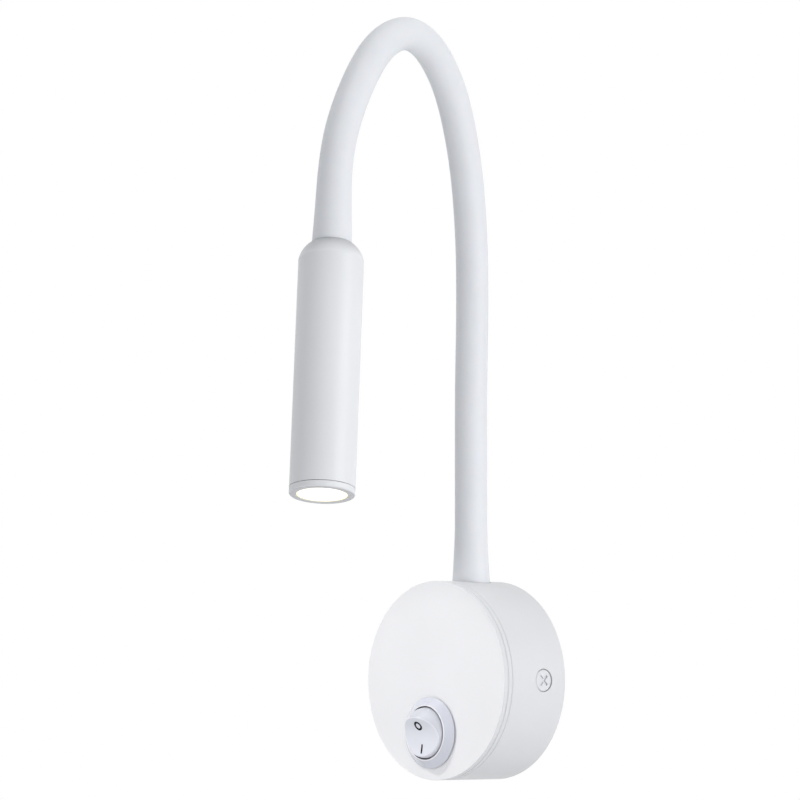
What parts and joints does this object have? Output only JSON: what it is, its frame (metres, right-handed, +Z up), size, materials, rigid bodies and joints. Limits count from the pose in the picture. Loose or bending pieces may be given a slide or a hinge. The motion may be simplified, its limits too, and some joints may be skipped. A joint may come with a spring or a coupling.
{
  "type": "flexible wall light",
  "caption": "Wall reading light: round drum base with a rocker switch, a silicone-sleeved gooseneck that stays where it is bent, and a slim cylindrical LED head.",
  "frame": {"origin": "centre of the drum's back, on the wall plane, midway between the two wall screw slots", "axes": "+Z up, +Y into the wall, front of the drum toward -Y, +X to the right when facing the wall"},
  "size_m": [0.0988, 0.1372, 0.2418],
  "materials": {
    "white_coat": "white satin powder coat",
    "white_screw": "painted white",
    "zinc_steel": "zinc plated",
    "coil_steel": "plain spring steel",
    "brass": "turned",
    "plain_aluminium": "turned",
    "white_silicone": "satin silicone",
    "black_rubber": "matt",
    "switch_plastic": "gloss",
    "black_plastic": "matt",
    "cream_plastic": "matt",
    "driver_plastic": "matt",
    "brown_wire": "insulation",
    "blue_wire": "insulation",
    "white_cable": "insulation",
    "led_phosphor": "phosphor under a clear dome",
    "reflector_plastic": "metallised",
    "lens_plastic": "opal diffuser, lit"
  },
  "bodies": {
    "base": {"base_housing": "white_coat", "front_cover": "white_coat", "cover_screws": "zinc_steel", "wall_bracket": "zinc_steel", "side_screws": "white_screw", "cable_grommet": "black_rubber", "terminal_block": "cream_plastic", "terminal_tubes": "brass", "terminal_screws": "zinc_steel", "earth_screw": "brass", "led_driver": "driver_plastic", "driver_tape": "black_rubber", "live_wire": "brown_wire", "switched_wire": "brown_wire", "neutral_wire": "blue_wire", "base_ferrule": "brass", "neck_washer": "zinc_steel", "neck_nut": "zinc_steel", "switch_body": "switch_plastic", "switch_terminals": "brass", "neck_coil_1": "coil_steel", "silicone_sleeve": "white_silicone", "led_cable": "white_cable"},
    "rocker": {"switch_rocker": "switch_plastic", "rocker_spring": "zinc_steel", "rocker_plunger": "black_plastic"},
    "blade": {"contact_blade": "brass"},
    "neck_1": {"neck_coil_2": "coil_steel"},
    "neck_2": {"neck_coil_3": "coil_steel"},
    "neck_3": {"neck_coil_4": "coil_steel"},
    "neck_4": {"neck_coil_5": "coil_steel"},
    "head": {"neck_coil_6": "coil_steel", "head_shell": "white_coat", "head_ferrule": "brass", "head_nut": "zinc_steel", "heat_sink": "plain_aluminium", "led_board": "plain_aluminium", "led_emitter": "led_phosphor", "board_screws": "zinc_steel", "reflector": "reflector_plastic", "lens_gasket": "black_rubber", "diffuser_lens": "lens_plastic", "front_bezel": "white_coat"}
  },
  "joints": [
    {"name": "rocker_press", "type": "hinge", "parent": "base", "child": "rocker", "pos_m": [-0.002, -0.0282, -0.0168], "axis": [1, 0, 0], "range_deg": [-30, 0]},
    {"name": "blade_tilt", "type": "hinge", "parent": "base", "child": "blade", "pos_m": [-0.002, -0.0176, -0.0168], "axis": [1, 0, 0], "range_deg": [0, 16]},
    {"name": "neck_lean", "type": "hinge", "parent": "base", "child": "neck_1", "pos_m": [0, -0.011, 0.0812], "axis": [0.9239, 0.3827, 0], "range_deg": [-1, 45], "deforming": ["silicone_sleeve", "led_cable"]},
    {"name": "neck_sway", "type": "hinge", "parent": "neck_1", "child": "neck_2", "pos_m": [-0.00039, -0.01006, 0.13318], "axis": [0.3826, -0.9236, -0.0262], "range_deg": [-35, 35], "deforming": ["silicone_sleeve", "led_cable"]},
    {"name": "arch_lift", "type": "hinge", "parent": "neck_2", "child": "neck_3", "pos_m": [0.00445, -0.02175, 0.18304], "axis": [-0.9239, -0.3827, 0], "range_deg": [-12, 30], "deforming": ["silicone_sleeve", "led_cable"]},
    {"name": "head_swing", "type": "hinge", "parent": "neck_3", "child": "neck_4", "pos_m": [0.02131, -0.06246, 0.20364], "axis": [-0.0828, 0.2, -0.9763], "range_deg": [-40, 40], "deforming": ["silicone_sleeve", "led_cable"]},
    {"name": "head_nod", "type": "hinge", "parent": "neck_4", "child": "head", "pos_m": [0.03721, -0.09997, 0.17319], "axis": [-0.9461, -0.3123, -0.0861], "range_deg": [-20, 45], "deforming": ["silicone_sleeve", "led_cable"]}
  ],
  "couplings": [
    {"joint": "blade_tilt", "follows": "rocker_press", "ratio": -0.53333}
  ]
}
